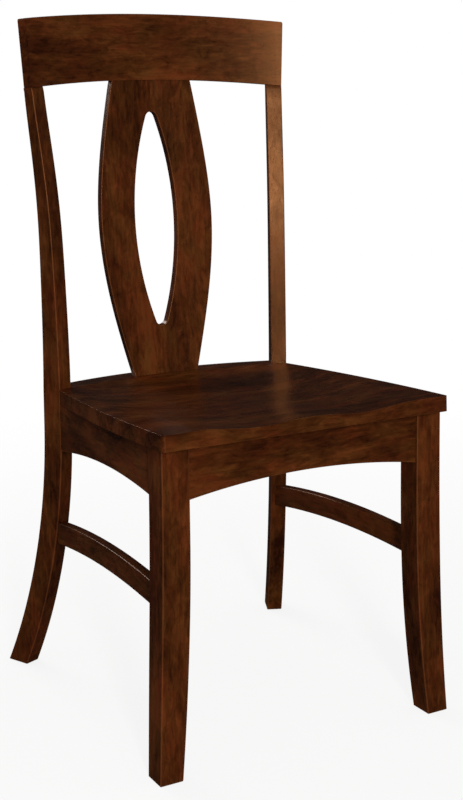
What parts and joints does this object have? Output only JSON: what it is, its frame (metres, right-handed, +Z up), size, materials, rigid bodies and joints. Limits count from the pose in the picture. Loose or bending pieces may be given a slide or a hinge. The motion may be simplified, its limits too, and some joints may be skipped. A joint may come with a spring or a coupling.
{
  "type": "dining chair",
  "caption": "Solid wood dining side chair with a scooped seat, curved crest rail, splayed feet and a splat with a pointed-oval opening.",
  "frame": {"origin": "on the floor, under the middle of the chair's bounding box", "axes": "+X to the right of the chair as seen from the front, -Y the way the chair faces, +Z up"},
  "size_m": [0.505, 0.5273, 1.019],
  "materials": {
    "stained_wood": "dark brown stain under satin lacquer",
    "block_wood": "stained, thin lacquer",
    "dowel_wood": "bare",
    "screw_steel": "zinc plated"
  },
  "bodies": {
    "root": {"seat_board_1": "stained_wood", "seat_board_2": "stained_wood", "seat_board_3": "stained_wood", "seat_board_4": "stained_wood", "crest_rail": "stained_wood", "splat_left": "stained_wood", "splat_right": "stained_wood", "rear_post_left": "stained_wood", "rear_post_right": "stained_wood", "front_leg_left": "stained_wood", "front_leg_right": "stained_wood", "front_apron": "stained_wood", "rear_apron": "stained_wood", "side_apron_left": "stained_wood", "side_apron_right": "stained_wood", "side_stretcher_left": "stained_wood", "side_stretcher_right": "stained_wood", "corner_block_front_left": "block_wood", "corner_block_front_right": "block_wood", "corner_block_rear_left": "block_wood", "corner_block_rear_right": "block_wood", "crest_dowels": "dowel_wood", "corner_block_screws": "screw_steel", "seat_screws": "screw_steel"}
  },
  "joints": []
}
